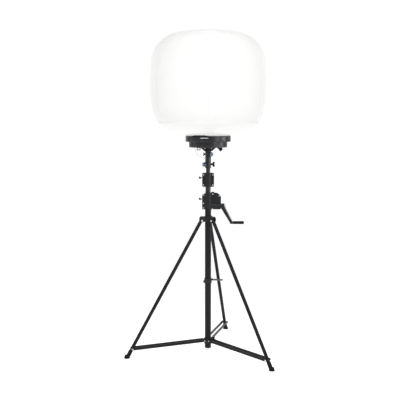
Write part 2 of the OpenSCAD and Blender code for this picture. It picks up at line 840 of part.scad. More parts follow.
module lower_collar() {
    color(DARK) difference() {
        union() {
            ring(sleeve_bore, collar_out_r, 66, 112);
            for (d = [LEFT, RIGHT, REAR]) collar_lug(d, lower_pivot_z);
            rotate(knob_lug) translate([24, -10, 88]) cube([34, 20, 12]);
        }
        cylinder(h = 300, r = sleeve_bore);
        rotate(knob_lug) translate([48, 0, 80]) cylinder(h = 40, r = 4.3);
    }
}

module lower_collar_knob() {
    color(BLACK) rotate(knob_lug) translate([48, 0, 0]) {
        translate([0, 0, 84]) cylinder(h = 30, r = 4);
        translate([0, 0, 102]) cylinder(h = 4, r = 7);
        translate([0, 0, 106]) cylinder(h = 12, r = 9);
        for (a = [0:90:270]) rotate(a) translate([8, 0, 106]) cylinder(h = 12, r = 3.5);
    }
}

// Two flat bars on either side of a leg, between two pivots in the leg's plane
module twin_bars(direction, p, q, inner = bar_inner, half = 10) {
    d = q - p;
    at_leg(direction) for (s = [-1, 1]) {
        y0 = s > 0 ? inner : -inner - bar_t;
        difference() {
            translate([p[0], 0, p[1]]) rotate([0, -atan2(d[1], d[0]), 0]) {
                translate([0, y0, -half]) cube([norm(d), bar_t, 2 * half]);
                y_rod(y0, y0 + bar_t, half);
                translate([norm(d), 0, 0]) y_rod(y0, y0 + bar_t, half);
            }
            for (c = [p, q]) translate([c[0], 0, c[1]]) y_rod(-40, 40, pivot_bolt_r + fit_gap);
        }
        translate([q[0], s * (inner + bar_t), q[1]])
            y_rod(s > 0 ? 0 : -4, s > 0 ? 4 : 0, 0.75 * half);
    }
}

module brace(direction) {
    twin_bars(direction, [collar_pivot_r, lower_pivot_z], [brace_joint_r, brace_joint_z]);
}

module brace_left() { color(DARK) brace(LEFT); }

module brace_right() { color(DARK) brace(RIGHT); }

module brace_rear() { color(DARK) brace(REAR); }

module stay_collar() {
    color(DARK) difference() {
        union() {
            ring(sleeve_bore, collar_out_r, 571, 611);
            collar_lug(REAR, stay_pivot_z, stay_inner);
            translate([-38, -9, 574]) cube([16, 18, 16]);
        }
        cylinder(h = 900, r = sleeve_bore);
    }
}

module stay_link() {
    color(DARK) twin_bars(REAR, [collar_pivot_r, stay_pivot_z], [stay_joint_r, stay_joint_z],
                          stay_inner, 7);
}

balloon_envelope();
clamp_ring();
base_flange();
base_housing();
top_plate();
intake_grille();
blower_housing();
blower_motor();
fan_impeller();
led_mast();
led_modules();
lamp_cap();
driver_boxes();
power_inlet();
wire_eye();
safety_wire();
hub_flange();
head_socket();
head_knob_right();
head_knob_left();
socket_knob_left();
socket_knob_right();
upper_riser_tube();
lower_riser_tube();
gear_rack();
upper_guide_bush();
riser_collar_front();
riser_collar_back();
riser_collar_bolts();
collar_knob();
column_tube();
column_plug();
riser_guide_bush();
winch_housing_front();
winch_housing_back();
winch_bolts();
winch_bushings();
winch_lock_knob();
drive_gear();
gear_shaft();
worm();
worm_shaft();
crank_arm();
crank_grip();
leg_collar();
leg_pivot_bolts();
leg_left();
leg_right();
leg_rear();
foot_left();
foot_right();
foot_rear();
lower_collar();
lower_collar_knob();
brace_left();
brace_right();
brace_rear();
stay_collar();
stay_link();
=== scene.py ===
import json
import math

import bmesh
import bpy
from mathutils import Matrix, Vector
from mathutils.bvhtree import BVHTree


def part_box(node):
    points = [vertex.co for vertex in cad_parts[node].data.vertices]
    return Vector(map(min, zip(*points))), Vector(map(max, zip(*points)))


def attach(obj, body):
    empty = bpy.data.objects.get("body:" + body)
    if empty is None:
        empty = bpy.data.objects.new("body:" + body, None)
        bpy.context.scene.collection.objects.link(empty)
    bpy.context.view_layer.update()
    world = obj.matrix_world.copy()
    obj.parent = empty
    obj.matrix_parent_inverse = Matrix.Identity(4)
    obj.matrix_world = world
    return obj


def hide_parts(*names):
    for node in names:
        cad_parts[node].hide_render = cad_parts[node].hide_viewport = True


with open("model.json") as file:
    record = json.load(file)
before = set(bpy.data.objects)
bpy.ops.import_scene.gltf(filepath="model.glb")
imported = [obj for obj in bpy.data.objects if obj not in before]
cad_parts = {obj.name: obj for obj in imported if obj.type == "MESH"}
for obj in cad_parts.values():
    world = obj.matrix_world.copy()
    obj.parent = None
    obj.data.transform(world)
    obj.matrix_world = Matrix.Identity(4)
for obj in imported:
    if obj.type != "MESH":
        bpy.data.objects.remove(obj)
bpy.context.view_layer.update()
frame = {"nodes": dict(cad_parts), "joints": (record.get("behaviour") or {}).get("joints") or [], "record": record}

NODES = frame["nodes"]
RECORD = frame["record"]
JOINTS = {j["name"]: j for j in frame["joints"]}
MOUNTS = {m["name"]: m for m in RECORD["mounts"]}
SIDES = ("left", "right", "rear")
MM = 0.001
UP = Vector((0, 0, 1))
FRONT = Vector((0, -1, 0))
RIGHT = Vector((1, 0, 0))
SCENE = bpy.context.scene


def add_object(name, data):
    """A new object that is linked into the scene."""
    made = bpy.data.objects.new(name, data)
    SCENE.collection.objects.link(made)
    return made


def smooth_mesh(name, points, faces):
    """A new mesh whose faces are all shaded smooth."""
    mesh = bpy.data.meshes.new(name)
    mesh.from_pydata([tuple(p) for p in points], [], faces)
    mesh.polygons.foreach_set("use_smooth", [True] * len(mesh.polygons))
    return mesh


# ---------- shader nodes ----------

def feed(socket, value):
    """Gives a socket a number, a colour triple or another node's output."""
    if isinstance(value, bpy.types.NodeSocket):
        socket.id_data.links.new(value, socket)
    elif socket.type == "RGBA":
        socket.default_value = (*value, 1)
    else:
        socket.default_value = value


def give(node, **values):
    """Each value goes to the node's input of that name, or else to its property."""
    for key, value in values.items():
        if key.replace("_", " ") in node.inputs:
            feed(node.inputs[key.replace("_", " ")], value)
        else:
            setattr(node, key, value)


def add_node(tree, kind, *sources, **values):
    """A node of that kind; sources feed its first inputs in their order."""
    made = tree.nodes.new(kind)
    give(made, **values)
    for socket, value in zip(made.inputs, sources):
        feed(socket, value)
    return made


# ---------- camera, studio light ----------

CAMERA_AT = (-0.065, -5.609, 1.819)
CAMERA_DOWN = math.radians(5.8)
LENS_MM = 63
SENSOR_MM = 36


def make_camera():
    data = bpy.data.cameras.new("camera")
    data.lens = LENS_MM
    data.sensor_width = SENSOR_MM
    camera = add_object("camera", data)
    camera.location = CAMERA_AT
    camera.rotation_euler = (math.radians(90) - CAMERA_DOWN, 0, 0)
    SCENE.camera = camera


SURROUND_LEVEL = 0.34
# Name, place, aim, size and watts of each area light
HIGH_LIGHTS = (("overhead", (0.3, -1.2, 5.2), (0, 0.2, 0), (4.5, 4.5), 45),
               ("high_front", (0.4, -4.5, 5.6), (0.1, 0, 2.1), (2.4, 1.4), 165))
SIDE_LIGHTS = (("right_strip", (3.1, -0.35, 1.4), (0, 0, 1.4), (0.4, 0.8), 21),
               ("right_front", (2.5, -2.4, 1.4), (0, 0, 1.4), (1.2, 0.9), 18),
               ("left_strip", (-3.3, -0.1, 1.3), (0, 0, 1.3), (0.25, 1.2), 5),
               ("left_high", (-3.3, -3.2, 3.7), (0, 0, 0.8), (0.8, 0.8), 55))


def area_light(name, at, aim, size, watts):
    data = bpy.data.lights.new(name, "AREA")
    data.shape = "RECTANGLE"
    data.size, data.size_y = size
    data.energy = watts
    light = add_object(name, data)
    light.location = at
    light.rotation_euler = (Vector(aim) - Vector(at)).to_track_quat("-Z", "Y").to_euler()
    return light


def make_studio():
    """A white surround, soft boxes above and lights at the sides; returns the side lights."""
    world = bpy.data.worlds.new("studio")
    SCENE.world = world
    world.use_nodes = True
    tree = world.node_tree
    seen = tree.nodes["Background"]
    give(seen, Color=(1, 1, 1))
    surround = add_node(tree, "ShaderNodeBackground", (1, 1, 1), SURROUND_LEVEL)
    path = add_node(tree, "ShaderNodeLightPath")
    mix = add_node(tree, "ShaderNodeMixShader", path.outputs["Is Camera Ray"],
                   surround.outputs["Background"], seen.outputs["Background"])
    give(tree.nodes["World Output"], Surface=mix.outputs["Shader"])
    SCENE.view_settings.view_transform = "Standard"
    for light in HIGH_LIGHTS:
        area_light(*light)
    return [area_light(*light) for light in SIDE_LIGHTS]


def shield(lights, pieces):
    """Keeps those lights off those pieces."""
    shielded = bpy.data.collections.new("shielded")
    for piece in pieces:
        shielded.objects.link(piece)
    for member in shielded.collection_objects:
        member.light_linking.link_state = "EXCLUDE"
    for light in lights:
        light.light_linking.receiver_collection = shielded


make_camera()
side_lights = make_studio()


# ---------- materials ----------

MATERIALS = {}


def shader(name, color, roughness, metallic=0.0, specular=0.5):
    """A new material with its Principled shader; returns its node tree and the shader."""
    material = bpy.data.materials.new(name)
    material.use_nodes = True
    principled = material.node_tree.nodes["Principled BSDF"]
    give(principled, Base_Color=color, Roughness=roughness, Metallic=metallic,
         Specular_IOR_Level=specular)
    MATERIALS[name] = material
    return material.node_tree, principled


def own_place(tree):
    """Points in the piece's own coordinates."""
    return add_node(tree, "ShaderNodeTexCoord").outputs["Object"]


def grain(tree, scale, detail=4.0, stretch=(1, 1, 1), roughness=0.55):
    """Noise in the piece's own coordinates, stretched if asked; scale is per metre."""
    mapping = add_node(tree, "ShaderNodeMapping", own_place(tree), Scale=stretch)
    return add_node(tree, "ShaderNodeTexNoise", mapping.outputs["Vector"], Scale=scale,
                    Detail=detail, Roughness=roughness).outputs["Fac"]


def spread(source, low, high, start=0.3, end=0.7):
    """Maps a value from start..end onto low..high."""
    return add_node(source.id_data, "ShaderNodeMapRange", source, start, end,
                    low, high).outputs["Result"]


def blend_colors(source, first, second):
    """Mixes two colours, each a triple or an output, by a value from 0 to 1."""
    made = add_node(source.id_data, "ShaderNodeMix", source, data_type="RGBA")
    feed(made.inputs[6], first)
    feed(made.inputs[7], second)
    return made.outputs[2]


def patchy(source, first, second):
    """Mixes two colours in soft patches, by a noise."""
    return blend_colors(spread(source, 0, 1), first, second)


def emit(principled, color, strength=1.0):
    """Light that the surface gives off itself; color is a triple or an output."""
    give(principled, Emission_Color=color, Emission_Strength=strength)


def bump(principled, source, distance, strength=1.0, after=None):
    """Relief in the surface, on top of another normal if asked; returns the new normal."""
    made = add_node(source.id_data, "ShaderNodeBump", strength, distance, Height=source)
    if after is not None:
        give(made, Normal=after)
    give(principled, Normal=made.outputs["Normal"])
    return made.outputs["Normal"]


def rounded_edges(tree, radius):
    """Normals that are rounded over sharp edges, as paint and moulding leave them."""
    return add_node(tree, "ShaderNodeBevel", samples=4, Radius=radius).outputs["Normal"]


def worn_and_highlit_edges(tree, rounded):
    """0 on faces, 1 along sharp edges, where the rounded normal turns away from the face's own: a mask for rubbed
    paint and painted edge highlight.
    """
    place = add_node(tree, "ShaderNodeNewGeometry")
    match = add_node(tree, "ShaderNodeVectorMath", rounded, place.outputs["Normal"],
                     operation="DOT_PRODUCT")
    return spread(match.outputs["Value"], 1.0, 0.0, 0.80, 0.97)


# The colour of rubbed paint and painted edge highlight, and how dark bare metal is between its bright patches
WORN_AND_HIGHLIGHT = (0.16, 0.16, 0.165)
DULLER = 0.85


def coated_metal(name, dark, light, rough, grain_scale, grain_depth, wear_and_highlight=0.35, edge=0.0007,
                 gloss=0.4):
    """Painted metal: orange peel, patchy gloss, and light grey along its edges that is partly rubbed paint and
    partly painted highlight. rough is (low, high).
    """
    tree, principled = shader(name, light, rough[0], specular=gloss)
    rounded = rounded_edges(tree, edge)
    patches = grain(tree, 9, 3)
    # Light grey along sharp edges: partly rubbed paint, partly painted edge highlight.
    rub_and_highlight = add_node(tree, "ShaderNodeMath", worn_and_highlit_edges(tree, rounded),
                   spread(grain(tree, 130, 5), 0, wear_and_highlight, 0.45, 0.7), operation="MULTIPLY")
    paint = patchy(patches, dark, light)
    give(principled, Base_Color=blend_colors(rub_and_highlight.outputs[0], paint, WORN_AND_HIGHLIGHT),
         Roughness=spread(patches, *rough))
    bump(principled, grain(tree, grain_scale, 2), grain_depth, after=rounded)


def bright_metal(name, color, roughness, stretch=(1, 1, 1)):
    """Bare metal with fine scratches along one direction."""
    tree, principled = shader(name, color, roughness, metallic=1.0)
    lines = grain(tree, 900, 3, stretch)
    dull = tuple(c * DULLER for c in color)
    give(principled, Base_Color=patchy(grain(tree, 60, 4), dull, color),
         Roughness=spread(lines, roughness, roughness + 0.16))
    bump(principled, lines, 0.00002, 0.6, rounded_edges(tree, 0.0004))


def moulded(name, dark, light, roughness, grain_scale=1400, grain_depth=0.00005, gloss=0.4):
    """Moulded plastic or rubber with a fine grain."""
    tree, principled = shader(name, light, roughness, specular=gloss)
    patches = grain(tree, 35, 3)
    give(principled, Base_Color=patchy(patches, dark, light),
         Roughness=spread(patches, roughness - 0.06, roughness + 0.08))
    bump(principled, grain(tree, grain_scale, 2), grain_depth,
         after=rounded_edges(tree, 0.0008))


# Glow of the envelope by height, from its foot to its top
GLOW = ((0.0, 0.52), (0.11, 0.45), (0.30, 0.60), (0.66, 0.61), (0.86, 0.565), (1.0, 0.55))
GLOW_TINT = (1.0, 1.0, 0.98)
RIPSTOP_PITCH = 0.006
RIPSTOP_THREAD = 0.0006


def envelope_fabric():
    """Coated nylon with a fine ripstop weave, lit from inside."""
    tree, principled = shader("envelope_fabric", (0.38, 0.38, 0.375), 0.5, specular=0.3)
    give(principled, Coat_Weight=0.75, Coat_Roughness=0.35)
    low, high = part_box("balloon_envelope")
    split = add_node(tree, "ShaderNodeSeparateXYZ", own_place(tree))
    height = spread(split.outputs["Z"], 0, 1, low.z, high.z)
    glow = add_node(tree, "ShaderNodeValToRGB", height)
    glow.color_ramp.interpolation = "B_SPLINE"
    stops = glow.color_ramp.elements
    for position, _ in GLOW[1:-1]:
        stops.new(position)
    for stop, (position, level) in zip(stops, GLOW):
        stop.position = position
        stop.color = (*[level * t for t in GLOW_TINT], 1)
    emit(principled, glow.outputs["Color"])
    angle = add_node(tree, "ShaderNodeMath", split.outputs["Y"], split.outputs["X"],
                     operation="ARCTAN2")
    around = add_node(tree, "ShaderNodeMath", angle.outputs[0], high.x, operation="MULTIPLY")
    unrolled = add_node(tree, "ShaderNodeCombineXYZ", around.outputs[0], split.outputs["Z"])
    weave = add_node(tree, "ShaderNodeTexBrick", unrolled.outputs["Vector"], Scale=1.0,
                     Mortar_Size=RIPSTOP_THREAD, Brick_Width=RIPSTOP_PITCH,
                     Row_Height=RIPSTOP_PITCH, offset=0.0)
    cloth = bump(principled, grain(tree, 1800, 2), 0.00008, 0.5)
    bump(principled, weave.outputs["Fac"], 0.00006, 0.4, cloth)
    give(principled, Roughness=spread(grain(tree, 14, 3, (1, 1, 0.35)), 0.46, 0.62))


def webbing():
    """Sewn tape and thread on the envelope, which the light inside shows through less."""
    tree, principled = shader("webbing", (0.78, 0.78, 0.76), 0.7)
    strands = grain(tree, 1500, 3)
    give(principled, Sheen_Weight=0.3,
         Base_Color=blend_colors(strands, (0.42, 0.42, 0.41), (0.54, 0.54, 0.53)))
    emit(principled, (0.405, 0.405, 0.40))
    bump(principled, strands, 0.0001)


def wire_rope():
    """Thin wire rope, dull from handling."""
    tree, principled = shader("wire_rope", (0.24, 0.24, 0.25), 0.45, metallic=0.4)
    strands = grain(tree, 1200, 2, (1, 1, 0.4))
    give(principled, Base_Color=blend_colors(strands, (0.16, 0.16, 0.17), (0.30, 0.30, 0.31)))
    bump(principled, strands, 0.0001)


def led_board():
    """White boards with a grid of lit chips."""
    tree, principled = shader("led_board", (0.9, 0.9, 0.86), 0.4)
    chips = add_node(tree, "ShaderNodeTexVoronoi", own_place(tree), Scale=90.0, Randomness=0.0)
    lit = spread(chips.outputs["Distance"], 1.0, 0.0, 0.25, 0.4)
    give(principled, Base_Color=blend_colors(lit, (0.9, 0.9, 0.86), (1.0, 0.86, 0.35)))
    emit(principled, blend_colors(lit, (0.1, 0.1, 0.1), (1.0, 0.95, 0.8)))


def status_lens():
    """A milky lens with light behind it."""
    tree, principled = shader("status_lens", (0.70, 0.70, 0.68), 0.25)
    cloudy = grain(tree, 90, 2)
    give(principled, Base_Color=blend_colors(cloudy, (0.40, 0.40, 0.40), (0.62, 0.62, 0.61)))
    emit(principled, blend_colors(cloudy, (0.02, 0.02, 0.02), (0.06, 0.06, 0.06)))


def make_materials():
    envelope_fabric()
    webbing()
    wire_rope()
    led_board()
    status_lens()
    coated_metal("powder_black", (0.009, 0.0095, 0.0115), (0.014, 0.0148, 0.017), (0.36, 0.46),
                 1500, 0.00004, gloss=0.12)
    coated_metal("cast_black", (0.006, 0.0064, 0.008), (0.014, 0.0147, 0.017), (0.36, 0.52),
                 420, 0.0003, 0.5, 0.0014, gloss=0.24)
    coated_metal("base_black", (0.009, 0.0095, 0.0115), (0.014, 0.0148, 0.018), (0.30, 0.40),
                 1600, 0.00004, edge=0.0012, gloss=0.45)
    coated_metal("riser_black", (0.007, 0.0075, 0.009), (0.012, 0.0126, 0.015), (0.26, 0.36),
                 2200, 0.00002, gloss=0.42)
    coated_metal("electronics_grey", (0.26, 0.27, 0.28), (0.34, 0.35, 0.36), (0.45, 0.55),
                 1500, 0.00003)
    moulded("black_plastic", (0.005, 0.005, 0.0055), (0.009, 0.009, 0.010), 0.45, gloss=0.15)
    moulded("knob_plastic", (0.005, 0.0055, 0.007), (0.008, 0.009, 0.012), 0.38, gloss=0.18)
    moulded("knob_blue", (0.005, 0.010, 0.022), (0.010, 0.024, 0.052), 0.28, gloss=0.5)
    moulded("rubber_black", (0.005, 0.005, 0.005), (0.009, 0.009, 0.009), 0.70, 900, 0.0001, 0.15)
    moulded("nylon", (0.72, 0.71, 0.65), (0.82, 0.81, 0.75), 0.45)
    bright_metal("steel", (0.66, 0.67, 0.69), 0.24)
    bright_metal("blued_steel", (0.34, 0.50, 0.74), 0.25)
    bright_metal("aluminium", (0.78, 0.79, 0.80), 0.32, (1, 1, 0.05))
    bright_metal("bronze", (0.62, 0.43, 0.20), 0.3)


# Nodes whose colour differs from the rest of their slot
OWN_MATERIAL = {"head_knob_right": "knob_blue", "socket_knob_left": "knob_blue"}


def dress_nodes():
    """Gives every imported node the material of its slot."""
    slot_of = {s["node"]: s["material_slot"] for s in RECORD["subparts"]}
    for name, node in NODES.items():
        node.data.materials.clear()
        node.data.materials.append(MATERIALS[OWN_MATERIAL.get(name, slot_of[name])])
        node.data.polygons.foreach_set("material_index", [0] * len(node.data.polygons))


make_materials()
dress_nodes()


# ---------- building blocks ----------

def basis(axis, hint=UP):
    """Three perpendicular directions, the last along axis."""
    w = Vector(axis).normalized()
    u = Vector(hint).cross(w)
    if u.length < 1e-6:
        u = RIGHT.cross(w)
    u.normalize()
    return u, w.cross(u), w


def outward(degrees):
    """The level direction at an azimuth."""
    a = math.radians(degrees)
    return Vector((math.cos(a), math.sin(a), 0))


def circle_points(count, radius, turn=0.0):
    """Points (side, up) evenly spaced round a circle."""
    return [(radius * math.cos(turn + 2 * math.pi * k / count),
             radius * math.sin(turn + 2 * math.pi * k / count)) for k in range(count)]


class Shape:
    """Collects the vertices and faces of one piece."""

    def __init__(self):
        self.points = []
        self.faces = []

    def grid(self, rows, closed=True):
        """Faces between successive rows of points; closed joins each row's end to its start."""
        first = len(self.points)
        count = len(rows[0])
        for row in rows:
            self.points.extend(row)
        for i in range(len(rows) - 1):
            for k in range(count if closed else count - 1):
                a = first + i * count
                b = a + count
                n = (k + 1) % count
                self.faces.append((a + k, a + n, b + n, b + k))
        return first, count

    def cap(self, first, count, flip=False):
        """One face over a row of points."""
        ring = list(range(first, first + count))
        self.faces.append(ring[::-1] if flip else ring)

    def closed_grid(self, rows):
        """A grid with a face over each end."""
        first, count = self.grid(rows)
        self.cap(first, count, True)
        self.cap(first + count * (len(rows) - 1), count)

    def lathe(self, profile, at, axis, sides=40):
        """A closed solid of revolution; profile is (radius, height) from one end to the other."""
        u, v, w = basis(axis)
        at = Vector(at)
        self.closed_grid([[at + w * h + u * p + v * q for p, q in circle_points(sides, r)]
                          for r, h in profile])

    def prism(self, outline, at, axis, height, chamfer=0.0, hint=UP):
        """An outline across axis, pushed along it, with a chamfer on its far edge."""
        u, v, w = basis(axis, hint)
        at = Vector(at)
        middle = sum((Vector(p) for p in outline), Vector((0, 0))) / len(outline)
        inset = [Vector(p) + (middle - Vector(p)).normalized() * chamfer for p in outline]
        levels = [(outline, 0.0), (outline, height - chamfer), (inset, height)]
        self.closed_grid([[at + u * p[0] + v * p[1] + w * h for p in shape] for shape, h in levels])

    def sweep(self, path, normals, profile, closed=False):
        """A profile of (side, out) points carried along a path; out points along each normal."""
        rows = []
        count = len(path)
        for i, (p, n) in enumerate(zip(path, normals)):
            before = path[i - 1] if closed or i else p
            after = path[(i + 1) % count] if closed or i < count - 1 else p
            side = (after - before).cross(n).normalized()
            rows.append([p + side * a + n * b for a, b in profile])
        if closed:
            self.grid(rows + [rows[0]])
        else:
            self.closed_grid(rows)

    def ring(self, at, axis, radius, profile, sides=72):
        """A profile of (side, out) points carried round a circle."""
        u, v, _ = basis(axis)
        outs = [u * p + v * q for p, q in circle_points(sides, 1.0)]
        self.sweep([Vector(at) + out * radius for out in outs], outs, profile, closed=True)

    def hoops(self, radius, profile, *levels):
        """A ring round the middle line at each level."""
        for level in levels:
            self.ring((0, 0, level), UP, radius, profile)

    def ridges(self, at, axis, radius, count, depths, profile):
        """Straight ridges along axis, evenly spaced round a cylinder."""
        u, v, _ = basis(axis)
        for p, q in circle_points(count, radius):
            self.sweep([at + u * p + v * q + axis * d for d in depths],
                       [(u * p + v * q).normalized()] * len(depths), profile)

    def stitch(self, at, along, out, length, thick):
        """One stitch of thread: a stretched octahedron."""
        side = along.cross(out).normalized()
        first = len(self.points)
        half = length / 2
        self.points += [at - along * half, at + side * thick, at + out * thick,
                        at - side * thick, at - out * thick, at + along * half]
        for k in range(4):
            n = (k + 1) % 4
            self.faces += [(first, first + 1 + n, first + 1 + k),
                           (first + 5, first + 1 + k, first + 1 + n)]

    def make(self, name, material, body, smooth_angle=40):
        """The finished piece on its body, with its material."""
        mesh = smooth_mesh(name, self.points, self.faces)
        work = bmesh.new()
        work.from_mesh(mesh)
        bmesh.ops.remove_doubles(work, verts=work.verts, dist=1e-6)
        bmesh.ops.recalc_face_normals(work, faces=work.faces)
        work.to_mesh(mesh)
        work.free()
        mesh.set_sharp_from_angle(angle=math.radians(smooth_angle))
        mesh.materials.append(MATERIALS[material])
        piece = add_object(name, mesh)
        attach(piece, body)
        return piece


def round_profile(radius, sides=8):
    return circle_points(sides, radius)


def rib_profile(foot, top, height, sunk=0.001):
    """A rib with sloping sides; foot and top are half widths."""
    return [(-foot, -sunk), (-top, height), (top, height), (foot, -sunk)]


def tape_profile(width, thick):
    """A flat tape with rounded edges that lies on a surface."""
    half = width / 2
    return [(-half, -thick), (-half, thick * 0.3), (-half * 0.86, thick), (half * 0.86, thick),
            (half, thick * 0.3), (half, -thick)]


def cap_screw(shape, at, axis, radius, height):
    """A round head with a rolled edge and a socket."""
    edge = min(radius, height) * 0.3
    shape.lathe([(radius, 0), (radius, height - edge), (radius - edge * 0.3, height - edge * 0.3),
                 (radius - edge, height), (radius * 0.55, height), (radius * 0.48, height * 0.9),
                 (radius * 0.45, height * 0.3)], at, axis, 24)


def dome_nut(shape, at, axis, radius, height):
    """A washer, a chamfered hexagon and a domed cap."""
    w = Vector(axis).normalized()
    washer = height * 0.15
    hexagon = height * 0.45
    shape.lathe([(radius * 1.2, 0), (radius * 1.25, washer * 0.5), (radius * 1.2, washer)],
                at, axis, 28)
    shape.prism(circle_points(6, radius, 0.3), Vector(at) + w * washer, axis, hexagon,
                height * 0.08)
    top = washer + hexagon
    dome = [(radius * 0.8 * math.cos(a), top + (height - top) * math.sin(a))
            for a in (math.radians(t) for t in (0, 20, 40, 60, 80))]
    shape.lathe([(radius * 0.8, washer + hexagon * 0.8)] + dome, at, axis, 24)


def joint_line(name):
    """A hinge's point and its direction."""
    joint = JOINTS[name]
    return Vector(joint["pos_m"]), Vector(joint["axis"]).normalized()


TREES = {}


def face_at(node, at, axis, beside=0.0):
    """Where the line through at along axis is level with the node's outer face, felt beside it."""
    if node not in TREES:
        mesh = NODES[node].data
        TREES[node] = BVHTree.FromPolygons([v.co for v in mesh.vertices],
                                           [tuple(p.vertices) for p in mesh.polygons])
    u, v, w = basis(axis)
    at = Vector(at)
    found = TREES[node].ray_cast(at + w + u * beside, -w)[0]
    return at + w * (found - at).dot(w)


def far_face(node, axis):
    """The middle of the node's outermost flat face along axis."""
    heights = [v.co.dot(axis) for v in NODES[node].data.vertices]
    top = max(heights)
    points = [v.co for v, h in zip(NODES[node].data.vertices, heights) if h > top - 1e-5]
    low = Vector(min(p[i] for p in points) for i in range(3))
    high = Vector(max(p[i] for p in points) for i in range(3))
    return (low + high) / 2


def lumps(node):
    """The box of each separate solid in a node, as (low, high) pairs."""
    work = bmesh.new()
    work.from_mesh(NODES[node].data)
    bmesh.ops.remove_doubles(work, verts=work.verts, dist=1e-5)
    found = []
    seen = set()
    for start in work.verts:
        if start in seen:
            continue
        seen.add(start)
        group = [start]
        for vertex in group:
            for edge in vertex.link_edges:
                other = edge.other_vert(vertex)
                if other not in seen:
                    seen.add(other)
                    group.append(other)
        found.append((Vector(min(v.co[i] for v in group) for i in range(3)),
                      Vector(max(v.co[i] for v in group) for i in range(3))))
    work.free()
    return found


# ---------- safety wire ----------

# The same route as the wire in the CAD part
WIRE_ROUTE = [(-106, -40, 1672), (-106, -40, 1665), (-105, -39.6, 1656), (-102, -38.6, 1645),
              (-97, -37, 1634), (-90, -34.6, 1622), (-81, -31.4, 1611), (-70, -27.4, 1602),
              (-58, -22.8, 1595), (-46, -18, 1591), (-36, -14, 1589.5), (-28, -10.8, 1589),
              (-21.8, -8.3, 1589)]
WIRE_D = 0.002


def smooth_route(points, steps):
    """Catmull-Rom points through the route."""
    made = []
    for i in range(len(points) - 1):
        a, b, c, d = (points[max(i - 1, 0)], points[i], points[i + 1],
                      points[min(i + 2, len(points) - 1)])
        for t in (j / steps for j in range(steps)):
            made.append(0.5 * (2 * b + (c - a) * t + (2 * a - 5 * b + 4 * c - d) * t ** 2
                               + (3 * b - a - 3 * c + d) * t ** 3))
    return made + [points[-1]]


def make_safety_wire():
    """The wire from the base's underside to the socket, with a ferrule at each end."""
    route = smooth_route([Vector(p) * MM for p in WIRE_ROUTE], 3)
    curve = bpy.data.curves.new("safety_wire_rope", "CURVE")
    curve.dimensions = "3D"
    curve.bevel_depth = WIRE_D / 2
    curve.bevel_resolution = 3
    curve.use_fill_caps = True
    spline = curve.splines.new("POLY")
    spline.points.add(len(route) - 1)
    for point, place in zip(spline.points, route):
        point.co = (*place, 1)
    curve.materials.append(MATERIALS["wire_rope"])
    wire = add_object("safety_wire_rope", curve)
    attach(wire, "head")
    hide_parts("safety_wire")
    ferrules = Shape()
    sleeve = [(0.0012, 0), (0.0021, 0.0006), (0.0021, 0.0068), (0.0012, 0.0074)]
    ferrules.lathe(sleeve, route[1], route[2] - route[1], 20)
    ferrules.lathe(sleeve, route[-5], route[-4] - route[-5], 20)
    sleeves = ferrules.make("safety_wire_ferrules", "steel", "head")


make_safety_wire()


# ---------- inflated envelope ----------

# Squareness of the outline above and below the middle
UPPER_POWER = 3.9
LOWER_POWER = 3.5
ROWS = 104
COLUMNS = 192
PANELS = 6
# Radius of each ring seam, as a share of the envelope's own
TOP_SEAM = 0.80
BOTTOM_SEAM = 0.865
FABRIC = 0.0015
# The farthest that the air may push the fabric
MOVE_CAP = 0.009
# Folds in the skirt: row, folds round the envelope, phase, depth
FOLDS = ((7, 3, 0.4, 0.0022), (11, 2, 2.1, 0.0018), (15, 4, 4.0, 0.0016), (19, 3, 5.2, 0.0014))
CLOTH = {"quality": 5, "mass": 0.02, "tension_stiffness": 40, "compression_stiffness": 40,
         "shear_stiffness": 12, "bending_stiffness": 0.3, "use_pressure": True,
         "uniform_pressure_force": 5.0, "vertex_group_mass": "held",
         "vertex_group_shrink": "sewn", "shrink_min": 0.0, "shrink_max": 0.035}
SIM_FRAMES = 16


def even_points(points, count):
    """The same line with count points evenly spaced along it."""
    lengths = [0.0]
    for p, q in zip(points, points[1:]):
        lengths.append(lengths[-1] + (q - p).length)
    made = []
    k = 0
    for i in range(count):
        want = lengths[-1] * i / (count - 1)
        while k < len(points) - 2 and lengths[k + 1] < want:
            k += 1
        share = (want - lengths[k]) / max(lengths[k + 1] - lengths[k], 1e-9)
        made.append(points[k].lerp(points[k + 1], min(1.0, share)))
    return made


def meridian():
    """Points (radius, level) from the neck to the middle of the top."""
    low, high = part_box("balloon_envelope")
    radius = (high.x - low.x) / 2
    middle = (low.z + high.z) / 2
    half = (high.z - low.z) / 2
    foot = [v.co for v in NODES["balloon_envelope"].data.vertices if v.co.z < low.z + 1e-4]
    neck = max(p.xy.length for p in foot)
    line = [Vector((neck, low.z)), Vector((neck, low.z + 0.008))]
    for a in (math.radians(t) for t in range(-90, 91)):
        power = LOWER_POWER if a < 0 else UPPER_POWER
        r = radius * max(0.0, math.cos(a)) ** (2 / power)
        z = middle + math.copysign(half * abs(math.sin(a)) ** (2 / power), a)
        if a > 0 or r > neck + 0.012:
            line.append(Vector((r, z)))
    line[-1].x = 0.0
    return even_points(line, ROWS), radius


def pucker(row_gap, column, waves, depth):
    """A small gather in the fabric that fades within a few rows of its seam."""
    return depth * math.exp(-(row_gap / 3.0) ** 2) * math.sin(waves * column)


